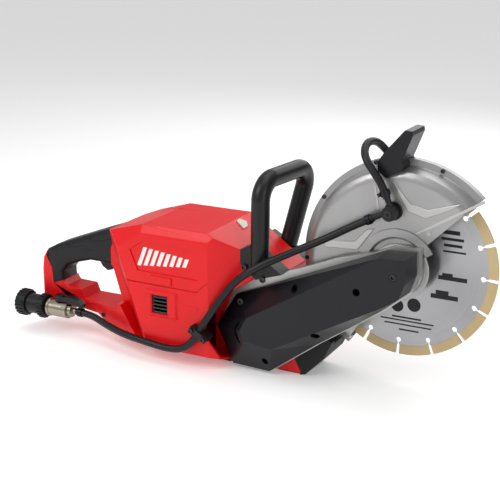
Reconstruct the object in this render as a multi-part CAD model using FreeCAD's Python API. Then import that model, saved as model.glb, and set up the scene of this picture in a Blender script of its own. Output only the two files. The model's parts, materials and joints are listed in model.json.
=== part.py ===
import FreeCAD, Part
import math
import os

# Battery cut-off saw with a 230 mm diamond blade, made for rescue work.
# Lengths are in millimetres. X points forward to the blade, Y to the tool's left, Z up.
# Shapes are described from the middle of the blade, on the spindle's axis, and moved as a
# whole to the row's frame, whose origin is on the ground under the middle of the tool.

V = FreeCAD.Vector

# ---- Driving dimensions ------------------------------------------------------------------

SPINDLE_X = 208.5          # blade centre in the row's frame
SPINDLE_Y = 11.75
SPINDLE_Z = 153.0          # its height over the ground

BLADE_R = 115.0            # 230 mm blade
BLADE_CORE_R = 103.2
BLADE_BORE_R = 11.1        # 22.2 mm arbor hole
BLADE_CORE_T = 2.2
SEGMENT_T = 3.0
SEGMENTS = 16
SEGMENT_GAP = 4.4
KEYHOLE_AT_R = 97.0
KEYHOLE_R = 3.2
SLOT_W = 2.0
FIRST_SLOT_DEG = 19.8

FLANGE_R = 28.0
FLANGE_T = 3.5
SHAFT_R = 7.5
BOLT_R = 5.0
BEARING_R = 16.0
BEARING_W = 9.0

GUARD_START_DEG = 44.5     # front edge of the guard, from +X towards +Z
GUARD_END_DEG = 238.0
GUARD_SCREW_AT_R = 127.0
HUB_RING_R = 49.5
HUB_START_DEG = 30.0       # the hub ring narrows to a collar outside these angles
HUB_END_DEG = 246.0
HUB_BORE_R = 31.55         # turns on the arm's boss with 0.05 mm to spare
HUB_BOSS_R = 31.5

MOTOR_X = -178.0
MOTOR_Z = -98.0
MOTOR_R = 34.0
MOTOR_SHAFT_R = 6.0
DRIVEN_PULLEY_R = 22.0
DRIVE_PULLEY_R = 11.0
BELT_T = 1.6
BELT_Y0 = -60.0
BELT_Y1 = -47.0

ARM_Y0 = -38.0             # the arm casting lies between these two planes
ARM_Y1 = -27.0
COVER_Y = -74.0            # front face of the belt cover

BODY_RIGHT_Y = -80.0       # widest face of the right shell
BODY_LEFT_Y = 42.0
SPLIT_Y = -21.5            # where the two shells and the two handle halves meet
HANDLE_RIGHT_Y = -40.0
HANDLE_LEFT_Y = -3.0
BATTERY_Y = 12.0           # face that the battery's rails hang on
SHELL_WALL = 3.0
REAR_LEAN = 0.34           # the rear of the body leans forward this much per mm going down
RAIL_PITCH = 67.0

SCREW_R = 1.95
SCREW_HOLE_R = 2.0
SCREW_HEAD_R = 4.0
HEAD_HOLE_R = 4.6

LOOP_TUBE_R = 11.5
HOSE_R = 4.75
VALVE_Y = -62.0
VALVE_Z = -116.0


# ---- Shape helpers -----------------------------------------------------------------------

def side_wire(points, y):
    """Closed outline given as (x, z) points, standing in the plane Y = y."""
    corners = [V(x, y, z) for x, z in points]
    return Part.makePolygon(corners + corners[:1])


def slab(points, y0, y1):
    """Side outline given as (x, z) points, y1 - y0 thick."""
    return Part.Face(side_wire(points, y0)).extrude(V(0, y1 - y0, 0))


def plan(points, z0, z1, lean=0.0):
    """Plan outline given as (x, y) points. It leans forward by lean per mm going down."""
    corners = [V(x, y, z1) for x, y in points]
    face = Part.Face(Part.makePolygon(corners + corners[:1]))
    return face.extrude(V(lean * (z1 - z0), 0, z0 - z1))


def end_on(points, x0, x1):
    """Outline given as (y, z) points, running from X = x0 to x1."""
    corners = [V(x0, y, z) for y, z in points]
    face = Part.Face(Part.makePolygon(corners + corners[:1]))
    return face.extrude(V(x1 - x0, 0, 0))


def block(x0, x1, y0, y1, z0, z1):
    return Part.makeBox(x1 - x0, y1 - y0, z1 - z0, V(x0, y0, z0))


def disc(x, z, r, y0, y1):
    """Cylinder along Y."""
    return Part.makeCylinder(r, y1 - y0, V(x, y0, z), V(0, 1, 0))


def ring(x, z, r_in, r_out, y0, y1):
    return disc(x, z, r_out, y0, y1).cut(disc(x, z, r_in, y0 - 1, y1 + 1))


def rod(start, end, r):
    """Round bar between two points."""
    axis = end - start
    return Part.makeCylinder(r, axis.Length, start, axis)


def turned(profile, start_deg=0.0, end_deg=360.0):
    """Section given as (radius, y) points, turned about the spindle."""
    corners = [V(r, y, 0) for r, y in profile]
    face = Part.Face(Part.makePolygon(corners + corners[:1]))
    face = face.rotated(V(0, 0, 0), V(0, 1, 0), -start_deg)
    return face.revolve(V(0, 0, 0), V(0, -1, 0), end_deg - start_deg)


def beyond(a, b, c, inset=0.0):
    """Block outside the plane through three points, moved in by inset, for cutting off a corner."""
    reach = 120.0
    out = (b - a).cross(c - a).normalize()
    along = (b - a).normalize() * reach
    other = out.cross(along)
    middle = a - out * inset
    corners = [middle - along - other, middle + along - other, middle + along + other,
               middle - along + other]
    return Part.Face(Part.makePolygon(corners + corners[:1])).extrude(out * reach)


def turned_along_x(profile, y, z):
    """Section given as (x, radius) points, turned about a line along X."""
    corners = [V(x, y, z + r) for x, r in profile]
    face = Part.Face(Part.makePolygon(corners + corners[:1]))
    return face.revolve(V(0, y, z), V(1, 0, 0), 360)


def spin(shape, degrees):
    """Copy of a shape turned about the spindle, from +X towards +Z."""
    return shape.rotated(V(0, 0, 0), V(0, 1, 0), -degrees)


def polar(r, degrees):
    """Point (x, z) at a radius and an angle about the spindle."""
    a = math.radians(degrees)
    return r * math.cos(a), r * math.sin(a)


def faceted(rings):
    """Closed solid through rings of points, ring by ring, with flat ends."""
    faces = [Part.Face(Part.makePolygon(rings[0] + rings[0][:1]))]
    faces.append(Part.Face(Part.makePolygon(rings[-1] + rings[-1][:1])))
    for low, high in zip(rings, rings[1:]):
        for i in range(len(low)):
            j = (i + 1) % len(low)
            faces.append(triangle(low[i], low[j], high[i]))
            faces.append(triangle(low[j], high[j], high[i]))
    shell = Part.makeShell(faces)
    solid = Part.makeSolid(shell)
    if solid.Volume < 0:
        solid.reverse()
    return solid.removeSplitter()


def triangle(a, b, c):
    return Part.Face(Part.makePolygon([a, b, c, a]))


def bend_points(a, corner, b, radius):
    """Tangent points and middle of the arc that rounds a corner, and the arc's radius."""
    to_a = a - corner
    to_b = b - corner
    turn = math.pi - to_a.getAngle(to_b)
    if radius is None:
        reach = 0.45 * min(to_a.Length, to_b.Length)
        radius = reach / math.tan(turn / 2)
    reach = radius * math.tan(turn / 2)
    to_a.normalize()
    to_b.normalize()
    start = corner + to_a * reach
    end = corner + to_b * reach
    inward = (to_a + to_b).normalize()
    centre = corner + inward * math.hypot(radius, reach)
    middle = centre - inward * radius
    return start, middle, end, radius


def tube(route, r, name, corner_r=None):
    """Round tube along straight runs joined by tangent arcs, of corner_r if it is given."""
    edges = []
    radii = []
    at = route[0]
    for a, corner, b in zip(route, route[1:], route[2:]):
        start, middle, end, radius = bend_points(a, corner, b, corner_r)
        edges.append(Part.LineSegment(at, start).toShape())
        edges.append(Part.Arc(start, middle, end).toShape())
        radii.append(round(radius, 1))
        at = end
    edges.append(Part.LineSegment(at, route[-1]).toShape())
    path = Part.Wire(edges)
    circle = Part.Circle(route[0], route[1] - route[0], r).toShape()
    swept = path.makePipeShell([Part.Wire([circle])], True, False)
    share = swept.Volume / (math.pi * r * r * path.Length)
    print(name, "bend radii", radii, "length", round(path.Length, 1), "volume share", round(share, 4))
    return swept


def hull_of_pulleys(r_spindle, r_motor, y0, y1):
    """Solid whose outline runs tangent round the spindle's and the motor's circles."""
    span = math.hypot(MOTOR_X, MOTOR_Z)
    along = math.atan2(MOTOR_Z, MOTOR_X)
    lean = math.acos((r_spindle - r_motor) / span)
    points = []
    for side in (1, -1):
        a = along + side * lean
        near = (r_spindle * math.cos(a), r_spindle * math.sin(a))
        far = (MOTOR_X + r_motor * math.cos(a), MOTOR_Z + r_motor * math.sin(a))
        points += [near, far] if side == 1 else [far, near]
    body = slab(points, y0, y1)
    ends = disc(0, 0, r_spindle, y0, y1).fuse(disc(MOTOR_X, MOTOR_Z, r_motor, y0, y1))
    return body.fuse(ends).removeSplitter()


def together(shapes):
    """Separate solids kept in one node."""
    return Part.makeCompound(shapes)


def fused(shapes):
    whole = shapes[0]
    for shape in shapes[1:]:
        whole = whole.fuse(shape)
    return whole.removeSplitter()


def minus(shape, cutters):
    for cutter in cutters:
        shape = shape.cut(cutter)
    return shape


def save(name, shape):
    """Write one sub-part, moved to the row's frame."""
    placed = shape.copy()
    placed.translate(V(SPINDLE_X, SPINDLE_Y, SPINDLE_Z))
    placed.exportStep("parts/" + name + ".step")
    box = placed.BoundBox
    extents.append(box)
    solids = len(placed.Solids)
    good = placed.isValid()
    if not good or solids == 0:
        print("CHECK", name, "valid", good, "solids", solids)


extents = []


# ---- Outlines ----------------------------------------------------------------------------

# Red body from the side: rear corner, top, front slope, toe and underside.
BODY_SIDE = [
    (-396, -28), (-391, -10), (-384, 6), (-362, 13), (-322, 25), (-229, 25), (-139, -21),
    (-139, -112), (-118, -149), (-120, -151), (-152, -151), (-160, -146), (-340, -146),
    (-352, -141), (-381, -92),
]
# The space inside the shells, a wall's thickness within the body.
BODY_INSIDE = [
    (-376, -28), (-368, 0), (-322, 20), (-231, 20), (-144, -25), (-144, -112),
    (-140, -140), (-336, -140), (-346, -134), (-366, -88),
]
# Outer outline of the loop that carries the rear grip, and the space for the fingers.
HANDLE_SIDE = [
    (-382, 5), (-413, -6), (-449, -20), (-486, -34.5), (-502, -43), (-510, -55),
    (-512.5, -72), (-512.5, -118), (-413, -117.5), (-388, -134), (-352, -141),
    (-381, -92), (-396, -28),
]
FINGER_SPACE = [
    (-478, -72), (-470, -62.5), (-453, -55.5), (-432, -49.5), (-397, -49.5), (-394, -52),
    (-378, -104), (-441, -104), (-446, -92), (-473, -91.5), (-478, -86),
]
# Black rubber part of the loop.
GRIP_SIDE = [
    (-382, 6), (-413, -5), (-449, -19), (-486, -33.5), (-503, -42), (-503.5, -53),
    (-495, -69), (-493, -90), (-477, -84), (-477, -72), (-469.5, -63.5), (-452.5, -56.5),
    (-432, -50.5), (-397, -50.5), (-397, -28), (-391, -10),
]
# The lower bar of the loop flares out to the body on the right.
FLARE_SIDE = [
    (-455, -108), (-455, -117.5), (-413, -117.5), (-388, -134), (-352, -141), (-338, -141),
    (-372, -96), (-400, -102),
]
FLARE_PLAN = [(-455, -40), (-400, -53), (-350, -64), (-330, -64), (-330, -38), (-455, -38)]

# Aluminium arm, seen from the side.
ARM_SIDE = [
    (-212, -54), (-173.8, -30.6), (-121.7, -13.6), (-69, 8.3), (-24.9, 20.5), (-2.2, 30.8),
    (31.6, 31.7), (31.6, 0), (24, -22), (-7, -47.5), (-44, -73.5), (-90, -104.5),
    (-152, -150.5), (-207, -149), (-233, -101),
]
# Belt cover: front face, and the outline where its facets end, with each corner's depth.
COVER_FRONT = [
    (-176.3, -76.2), (-5.1, 26.5), (27.4, 27.9), (28.5, 0), (20.5, -19.8), (2, -32.2),
    (-30, -49.7), (-80, -77.1), (-141.4, -110.8), (-178.6, -106.7), (-185.4, -93.8),
]
COVER_EDGE = [
    (-207.5, -59.8, -41), (-6.6, 27.3, -41), (28.3, 29.5, -41), (29.4, 1.6, -41),
    (21.5, -21, -43), (-8.3, -45.6, -46), (-44.3, -71.3, -48), (-90.7, -102.3, -52),
    (-153, -148.2, -55), (-204.8, -146.8, -55), (-230.6, -100.9, -50),
]
COVER_SCREWS = [(-194, -62.5), (-114.5, -30.5), (-31.1, -18.8), (-85, -84), (-155.5, -132.5)]
COVER_SCREW_POST = (-31.1, -18.8)   # stands between the two runs of the belt
NOSE_SCREW = (13.2, 6.0)

# Section of the guard as (radius, y), outside first.
GUARD_NEAR_SECTION = [
    (45, -24), (106, -24), (112, -22.8), (117, -19.5), (120, -14.5), (121, -8),
    (122.5, -5.5), (130, -4.5), (130, 0.95), (124, 0.95), (119, -3), (118, -8),
    (117, -13.5), (114.5, -17.5), (110.5, -20), (106, -21), (45, -21),
]
GUARD_FAR_SECTION = [
    (124, 1.05), (130, 1.05), (130, 4.5), (122, 5.5), (119.5, 9), (118, 14), (114, 18.5),
    (108, 20), (45, 20), (45, 17.5), (107, 17.5), (112.5, 16), (115.5, 12.5), (117.5, 8),
    (119, 4),
]
GUARD_OUTSIDE = [
    (0, -24.05), (106, -24.05), (112, -22.85), (117, -19.55), (120.1, -14.5), (121.1, -8),
    (122.6, -5.6), (130.1, -4.6), (130.1, 4.6), (122.1, 5.6), (119.6, 9.1), (118.1, 14.1),
    (114.1, 18.6), (108, 20.1), (0, 20.1),
]
LEVER_SIDE = [
    (3.5, 166.8), (12.7, 166.4), (13.5, 161.5), (1.1, 129.9), (3.9, 123.7), (-1.2, 118.1),
    (-16.9, 108.5), (-28, 115), (-29, 126.6), (-20.7, 139),
]
TRIGGER_SIDE = [
    (-417, -40), (-424, -50), (-419, -58), (-411, -63), (-404, -61), (-391, -50),
    (-391, -42), (-400, -38),
]
TRIGGER_PIVOT = (-396.0, -46.0)

# Where the water goes in on the guard, and the direction of its two hose barbs.
FITTING = (-7.5, 70.3)
FAR_FITTING = (-12.5, 70.0)

# Water hose from the valve to the guard, and the short one over the guard's rim.
MAIN_HOSE = [
    V(-440, -62, -116), V(-417, -62, -116), V(-388, -70, -123), V(-352, -82, -126),
    V(-316, -88, -127), V(-282, -89, -130), V(-259, -89, -127), V(-244, -88.5, -114),
    V(-234, -87, -96), V(-222, -84, -76), V(-207, -80, -53), V(-189, -76, -28),
    V(-160, -72, -7), V(-122, -53, 12), V(-84, -40, 31), V(-52, -36.5, 50),
    V(-28, -36, 62.4),
]
RIM_HOSE = [
    V(-11.6, -36, 87.8), V(-18.5, -37, 104), V(-31, -36, 119), V(-43, -31, 132),
    V(-49, -17, 141), V(-50, 0, 144.5), V(-47, 17, 141), V(-41, 30, 129),
    V(-32, 35, 114), V(-23, 36, 100), V(-17.5, 35.5, 88),
]
# Strap that holds the hose to the body, and how far it is turned about Y.
CLIP_AT = V(-235, -86, -102)
CLIP_HALF = 13.0
CLIP_TURN_DEG = 27.9
# Front handle, from the right foot up, across and down to the left foot.
LOOP_ROUTE = [V(-168.5, -52, -22), V(-167.5, -52, 92), V(-156.5, 62, 92), V(-176, 42, -10)]
LOOP_CORNER_R = 25.0
HANDLE_SCREWS = [(-185.5, -15), (-160, -27.5)]


# ---- Body shells -------------------------------------------------------------------------

def front_facet(inset):
    """Region cut off where the right side narrows from the wide panel to the motor."""
    points = [
        (-226 - inset, -80), (-154 - inset, -38 + inset), (-60, -38 + inset), (-60, -120),
        (-226 - inset, -120),
    ]
    return plan(points, -200, 60)


def shoulder(inset=0.0):
    """Region cut off the body's upper rear corner on the right, beside the grip."""
    return beyond(V(-325, -74, 25), V(-364, -80, -10.6), V(-324, -80, 13.5), inset)


def body_envelope():
    """The red body as one solid, with its facets."""
    right_rear = [(-358.4, -100), (-414, -40), (-560, -40), (-560, -100)]
    left_rear = [(-358.4, 62), (-419, -3), (-560, -3), (-560, 62)]
    left_front = [(-228, 42.1), (-139, 16), (-60, 16), (-60, 60), (-228, 60)]
    top_edge = [(-80.1, 13.5), (-74, 25.1), (-74, 40), (-100, 40), (-100, 13.5)]
    bottom_edge = [(-80.1, -136), (-45, -146.1), (-45, -170), (-100, -170), (-100, -136)]
    cutters = [
        plan(right_rear, -200, 40, REAR_LEAN),
        plan(left_rear, -200, 40, REAR_LEAN),
        plan(left_front, -60, 60),
        front_facet(0),
        end_on(top_edge, -420, -100),
        end_on(bottom_edge, -420, -160),
        shoulder(),
    ]
    return minus(slab(BODY_SIDE, BODY_RIGHT_Y, BODY_LEFT_Y), cutters)


def red_body():
    """Both shells as one solid: body, handle loop and the flare between them."""
    loop = slab(HANDLE_SIDE, HANDLE_RIGHT_Y, HANDLE_LEFT_Y)
    flare = slab(FLARE_SIDE, -70, -39).common(plan(FLARE_PLAN, -160, -80))
    whole = fused([body_envelope(), loop, flare])
    return minus(whole, [slab(FINGER_SPACE, -90, 20), slab(ARM_SIDE, -120, ARM_Y1)])


def body_cavity():
    """Space inside the shells for the motor and the electronics."""
    right_rear = [(-352, -100), (-408, -37), (-560, -37), (-560, -100)]
    left_rear = [(-352, 62), (-413, -6), (-560, -6), (-560, 62)]
    cutters = [
        front_facet(4),
        plan(right_rear, -200, 40, REAR_LEAN),
        plan(left_rear, -200, 40, REAR_LEAN),
        slab(ARM_SIDE, -120, ARM_Y1 + SHELL_WALL),
        block(-240, -100, ARM_Y0, ARM_Y1 + SHELL_WALL, -160, -10),
        block(-353, -254, BATTERY_Y - SHELL_WALL, 60, -108, 60),
        plan([(-232, 60), (-232, 37), (-139, 11), (-60, 11), (-60, 60)], -62, 60),
        end_on([(-77.1, 9), (-71, 20.1), (-71, 40), (-100, 40), (-100, 9)], -420, -100),
        end_on([(-80.1, -133), (-45, -143.1), (-45, -170), (-100, -170), (-100, -133)], -420, -100),
        shoulder(SHELL_WALL),
    ]
    inside = slab(BODY_INSIDE, BODY_RIGHT_Y + SHELL_WALL, BODY_LEFT_Y - SHELL_WALL)
    return minus(inside, cutters)


def handle_cavity():
    """Space in the loop's upper bar for the switch and the trigger."""
    switch_room = block(-446, -397, -33, -10, -44, -20)
    trigger_room = block(-430, -388, -30, -13, -70, -36)
    wire_room = block(-400, -370, -30, -13, -40, -14)
    return [switch_room, trigger_room, wire_room]


SHELL_SCREWS = [(-504, -104), (-430, -111), (-360, -128), (-372, -4), (-244, 14), (-150, -140)]
BATTERY_BAY = block(-349, -258, BATTERY_Y, 60, -104, 60)
VENT_HOLE = block(-308, -284.5, -90, -70, -88.5, -63.8)
LEFT_VENT_HOLE = block(-222, -190, 30, 60, -118, -80)


def shell_screw_holes():
    shanks = [disc(x, z, SCREW_HOLE_R, screw_tip_y(x) - 1, 45) for x, z in SHELL_SCREWS]
    heads = [disc(x, z, HEAD_HOLE_R, screw_head_y(x), 60) for x, z in SHELL_SCREWS]
    return shanks + heads


def screw_head_y(x):
    """The left end of a shell screw, which lies deeper in the narrow handle."""
    return -9.0 if x < -355 else 6.0


def screw_tip_y(x):
    """The right end of a shell screw, which stops short of the arm."""
    return -33.0 if x < -240 else -26.0


def button_hole():
    """Stepped hole that keeps the lock-off button in."""
    return [disc(-405, -30, 6.3, -12, -2.7), disc(-405, -30, 5.3, -3, 10)]


def make_shells():
    red = minus(red_body(), [body_cavity(), slab(GRIP_SIDE, -60, 20)] + handle_cavity())
    red = minus(red, shell_screw_holes() + button_hole())
    red = minus(red, [
        trigger_pin_disc(2.4, -33, -10),
        disc(MOTOR_X, MOTOR_Z, 14, -30, -20),
        rod(LOOP_ROUTE[0] - V(0, 0, 3), LOOP_ROUTE[1], LOOP_TUBE_R + 0.3),
    ])
    red = minus(red, [disc(x, z, SCREW_HOLE_R, -62, -42) for x, z in HANDLE_SCREWS])
    right = red.common(block(-600, 0, -200, SPLIT_Y, -200, 60))
    left = red.common(block(-600, 0, SPLIT_Y, 200, -200, 60))
    panel = [(-321.7, 4.2), (-249, 3.4), (-241, -8), (-241, -36), (-329, -36), (-340.4, -9.2)]
    seam = [(-346, -50), (-242, -50.5), (-226, -35), (-226, -36.7), (-241.5, -51.9), (-346, -51.4)]
    frame = [(-314.4, -58), (-271.5, -58.4), (-271.4, -91.6), (-311.6, -91.7)]
    catch = [(-308.6, -38.8), (-278.5, -39.2), (-278.7, -49), (-308.6, -48.6)]
    right = minus(right, [slab(panel, -81, -78.5), slab(seam, -81, -78.8)])
    raised = slab(frame, -81.6, -80).fuse(slab(catch, -81.8, -78.6))
    right = minus(fused([right, raised]), [VENT_HOLE])
    rail = [(-340, 12), (-331, 12), (-329, 18), (-342, 18)]
    rails = [plan(rail, -100, 8), plan([(x + RAIL_PITCH, y) for x, y in rail], -100, 8)]
    left = minus(left, [BATTERY_BAY, LEFT_VENT_HOLE])
    left = fused([left] + rails)
    save("housing_right", right)
    save("housing_left", left)


def make_grip():
    """Rubber over the loop's upper bar, in two halves, with room for the switch."""
    loop = slab(HANDLE_SIDE, HANDLE_RIGHT_Y, HANDLE_LEFT_Y).cut(slab(FINGER_SPACE, -90, 20))
    grip = loop.common(slab(GRIP_SIDE, -60, 20))
    grip = minus(grip, handle_cavity() + button_hole())
    grip = minus(grip, [trigger_pin_disc(2.4, -33, -10)])
    save("grip_right", grip.common(block(-600, 0, -200, SPLIT_Y, -200, 60)))
    save("grip_left", grip.common(block(-600, 0, SPLIT_Y, 200, -200, 60)))


def make_shell_screws():
    screws = []
    for x, z in SHELL_SCREWS:
        head_y = screw_head_y(x)
        shank = disc(x, z, SCREW_R, screw_tip_y(x), head_y)
        screws.append(shank.fuse(disc(x, z, SCREW_HEAD_R, head_y, head_y + 3)))
    save("housing_screws", together(screws))


def make_vents():
    plate = block(-307.9, -284.6, -79.5, -77.6, -88.4, -63.9)
    slots = [block(-305.5, -287, -80, -77, z, z + 2.2) for z in (-86, -81.6, -77.2, -72.8, -68.4)]
    save("vent_right", minus(plate, slots))
    plate = block(-221.9, -190.1, 39.2, 41.5, -117.9, -80.1)
    slots = [block(-219, -193, 39, 42, z, z + 3) for z in (-114, -108, -102, -96, -90, -84.5)]
    save("vent_left", minus(plate, slots))


def make_feet():
    pads = [block(x, x + 34, y, y + 14, -153, -146) for x in (-338, -250) for y in (-40, 18)]
    save("foot_pads", together(pads))
    side = [
        (-118, -149), (-120, -153), (-112, -151), (-87, -124.5), (-77, -103), (-84, -99),
        (-100, -112), (-139, -112),
    ]
    sole = [(-150, -151), (-150, -153), (-119, -153), (-119, -151)]
    skid = slab(side, -37, 20).fuse(slab(sole, -34, 20))
    guard_room = disc(0, 0, 134, ARM_Y1 + 0.4, 60)
    skid = minus(skid, [guard_room, body_envelope(), slab(ARM_SIDE, -60, ARM_Y1)])
    save("front_skid", skid.removeSplitter())


# ---- Trigger and switch ------------------------------------------------------------------

def trigger_pin_disc(r, y0, y1):
    return disc(TRIGGER_PIVOT[0], TRIGGER_PIVOT[1], r, y0, y1)


def make_trigger():
    lever = slab(TRIGGER_SIDE, -28.5, -14.5).cut(trigger_pin_disc(2.45, -40, 0))
    save("trigger", lever)
    save("trigger_pin", trigger_pin_disc(2.4, -33, -10))
    save("trigger_switch", block(-440, -404, -31, -15, -32, -21))
    button = disc(-405, -30, 6, -11, -2.9).fuse(disc(-405, -30, 5, -2.9, 1.5))
    save("lock_off_button", button.removeSplitter())


# ---- Motor, arm and belt -----------------------------------------------------------------

def make_motor():
    save("motor_stator", ring(MOTOR_X, MOTOR_Z, 21, MOTOR_R, -6, 28))
    save("motor_end_plate", ring(MOTOR_X, MOTOR_Z, 13, MOTOR_R, 30, 38))
    bearing_a = ring(MOTOR_X, MOTOR_Z, MOTOR_SHAFT_R, 13, -36, -27.5)
    bearing_b = ring(MOTOR_X, MOTOR_Z, MOTOR_SHAFT_R, 13, 30.5, 37.5)
    save("motor_bearings", together([bearing_a, bearing_b]))
    save("motor_shaft", disc(MOTOR_X, MOTOR_Z, MOTOR_SHAFT_R - 0.05, -63, 38))
    save("rotor_core", ring(MOTOR_X, MOTOR_Z, MOTOR_SHAFT_R - 0.05, 20, -6, 28))
    save("cooling_fan", cooling_fan())


def cooling_fan():
    hub = ring(MOTOR_X, MOTOR_Z, MOTOR_SHAFT_R - 0.05, 10, -19, -9)
    plate = ring(MOTOR_X, MOTOR_Z, 9.5, 29, -11, -9)
    blade = block(MOTOR_X + 9.5, MOTOR_X + 29, -19, -10.5, MOTOR_Z - 0.8, MOTOR_Z + 0.8)
    centre = V(MOTOR_X, 0, MOTOR_Z)
    blades = [blade.rotated(centre, V(0, 1, 0), 30 * i) for i in range(12)]
    return fused([hub, plate] + blades)


def pulley(x, z, r, bore, flange):
    """Toothless pulley with two flanges that keep the belt on."""
    wheel = disc(x, z, r, BELT_Y0 - 0.5, BELT_Y1 + 0.5)
    rims = [disc(x, z, flange, BELT_Y0 - 1.5, BELT_Y0 - 0.5)]
    rims.append(disc(x, z, flange, BELT_Y1 + 0.5, BELT_Y1 + 1.5))
    return fused([wheel] + rims).cut(disc(x, z, bore, -100, 0))


def make_belt_drive():
    save("drive_pulley", pulley(MOTOR_X, MOTOR_Z, DRIVE_PULLEY_R, MOTOR_SHAFT_R - 0.05, 14))
    save("driven_pulley", pulley(0, 0, DRIVEN_PULLEY_R, SHAFT_R - 0.05, DRIVEN_PULLEY_R))
    inner = (DRIVEN_PULLEY_R + 0.3, DRIVE_PULLEY_R + 0.3)
    outside = hull_of_pulleys(inner[0] + BELT_T, inner[1] + BELT_T, BELT_Y0, BELT_Y1)
    save("drive_belt", outside.cut(hull_of_pulleys(inner[0], inner[1], BELT_Y0 - 1, BELT_Y1 + 1)))


def make_arm():
    plate = slab(ARM_SIDE, ARM_Y0, ARM_Y1)
    boss = disc(0, 0, HUB_BOSS_R, ARM_Y1, -18)
    holes = [disc(0, 0, BEARING_R, -60, 0), disc(MOTOR_X, MOTOR_Z, 13, -60, 0)]
    holes += [disc(x, z, SCREW_HOLE_R, -60, 0) for x, z in COVER_SCREWS]
    save("arm_casting", minus(plate.fuse(boss).removeSplitter(), holes))
    first = ring(0, 0, SHAFT_R, BEARING_R, -37.5, -28.5)
    second = ring(0, 0, SHAFT_R, BEARING_R, -27.5, -18.5)
    save("spindle_bearings", together([first, second]))


def make_cover():
    front = [V(x, COVER_Y, z) for x, z in COVER_FRONT]
    edge = [V(x, y, z) for x, z, y in COVER_EDGE]
    back = [V(x, ARM_Y0, z) for x, z, _ in COVER_EDGE]
    room = hull_of_pulleys(26, 17.5, COVER_Y + 4, ARM_Y0 + 1)
    post = disc(COVER_SCREW_POST[0], COVER_SCREW_POST[1], 7.5, COVER_Y + 3, ARM_Y0)
    cover = faceted([front, edge, back]).cut(room).fuse(post)
    holes = [disc(x, z, HEAD_HOLE_R, -90, -52) for x, z in COVER_SCREWS]
    holes += [disc(x, z, SCREW_HOLE_R, -60, -30) for x, z in COVER_SCREWS]
    holes.append(disc(NOSE_SCREW[0], NOSE_SCREW[1], HEAD_HOLE_R, -90, -71.2))
    save("belt_cover", minus(cover, holes).removeSplitter())
    screws = []
    for x, z in COVER_SCREWS:
        shank = disc(x, z, SCREW_R, -52, -27.5)
        screws.append(shank.fuse(disc(x, z, SCREW_HEAD_R, -56, -52)))
    screws.append(disc(NOSE_SCREW[0], NOSE_SCREW[1], SCREW_HEAD_R, -73.2, -71.2))
    save("belt_cover_screws", together(screws))


# ---- Spindle and blade -------------------------------------------------------------------

def make_spindle():
    half = BLADE_CORE_T / 2
    shaft = disc(0, 0, SHAFT_R - 0.05, -64, half - 0.1)
    save("spindle_shaft", shaft.cut(disc(0, 0, BOLT_R, -26, 10)))
    inner = [
        (SHAFT_R - 0.05, -18), (11.5, -18), (11.5, -8.5), (14, -8.5), (14, -half - FLANGE_T),
        (FLANGE_R, -half - FLANGE_T), (FLANGE_R, -half), (BLADE_BORE_R - 0.05, -half),
        (BLADE_BORE_R - 0.05, half - 0.1), (SHAFT_R - 0.05, half - 0.1),
    ]
    save("inner_flange", turned(inner))
    save("outer_flange", ring(0, 0, BOLT_R + 0.1, FLANGE_R, half, half + FLANGE_T))
    head_y = half + FLANGE_T
    washer = disc(0, 0, 12, head_y, head_y + 2)
    corners = [polar(11, 60 * i) for i in range(6)]
    head = slab(corners, head_y + 2, head_y + 9)
    save("arbor_bolt", fused([disc(0, 0, BOLT_R - 0.05, -24, head_y + 1), washer, head]))


def make_blade():
    half = BLADE_CORE_T / 2
    core = disc(0, 0, BLADE_CORE_R, -half, half)
    slots = [disc(0, 0, BLADE_BORE_R, -5, 5)]
    pitch = 360.0 / SEGMENTS
    for i in range(SEGMENTS):
        angle = FIRST_SLOT_DEG + pitch * i
        slot = block(KEYHOLE_AT_R, BLADE_R, -5, 5, -SLOT_W / 2, SLOT_W / 2)
        x, z = polar(KEYHOLE_AT_R, angle)
        slots += [spin(slot, angle), disc(x, z, KEYHOLE_R, -5, 5)]
    save("blade_core", minus(core, slots))
    segments = []
    gap_deg = math.degrees(SEGMENT_GAP / BLADE_R)
    section = [
        (BLADE_CORE_R, -SEGMENT_T / 2), (BLADE_R, -SEGMENT_T / 2),
        (BLADE_R, SEGMENT_T / 2), (BLADE_CORE_R, SEGMENT_T / 2),
    ]
    for i in range(SEGMENTS):
        start = FIRST_SLOT_DEG + pitch * i + gap_deg / 2
        segments.append(turned(section, start, start + pitch - gap_deg))
    save("blade_segments", together(segments))


# ---- Guard and water feed ----------------------------------------------------------------

RIM_SCREWS_DEG = (70, 108, 146, 184, 222)


def rim_screw_holes():
    holes = []
    for angle in RIM_SCREWS_DEG:
        x, z = polar(GUARD_SCREW_AT_R, angle)
        holes.append(disc(x, z, 1.6, -20, 20))
    return holes


def make_guard():
    near = turned(GUARD_NEAR_SECTION, GUARD_START_DEG, GUARD_END_DEG)
    far = turned(GUARD_FAR_SECTION, GUARD_START_DEG, GUARD_END_DEG)
    save("guard_near_half", minus(near, rim_screw_holes()))
    save("guard_far_half", minus(far, rim_screw_holes()))
    collar = [(HUB_BORE_R, -20.9), (HUB_BORE_R, -23.4), (37.2, -23.4), (38.2, -22.4), (38.2, -20.9)]
    hub = [
        (HUB_BORE_R, -20.9), (HUB_BORE_R, -23.4), (37.2, -23.4), (40, -26.4),
        (HUB_RING_R, -26.4), (HUB_RING_R, -24.02), (44.9, -24.02), (44.9, -20.9),
    ]
    open_side = turned(collar, HUB_END_DEG - 360, HUB_START_DEG)
    save("guard_hub_ring", fused([turned(hub, HUB_START_DEG, HUB_END_DEG), open_side]))
    lever = slab(LEVER_SIDE, -26.5, 12)
    save("guard_lever", lever.cut(turned(GUARD_OUTSIDE)).removeSplitter())
    screws = []
    for angle in RIM_SCREWS_DEG:
        x, z = polar(GUARD_SCREW_AT_R, angle)
        screws.append(disc(x, z, 1.55, -5.5, 5).fuse(disc(x, z, 2.7, -6.6, -5.5)))
    save("guard_screws", together(screws))


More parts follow.
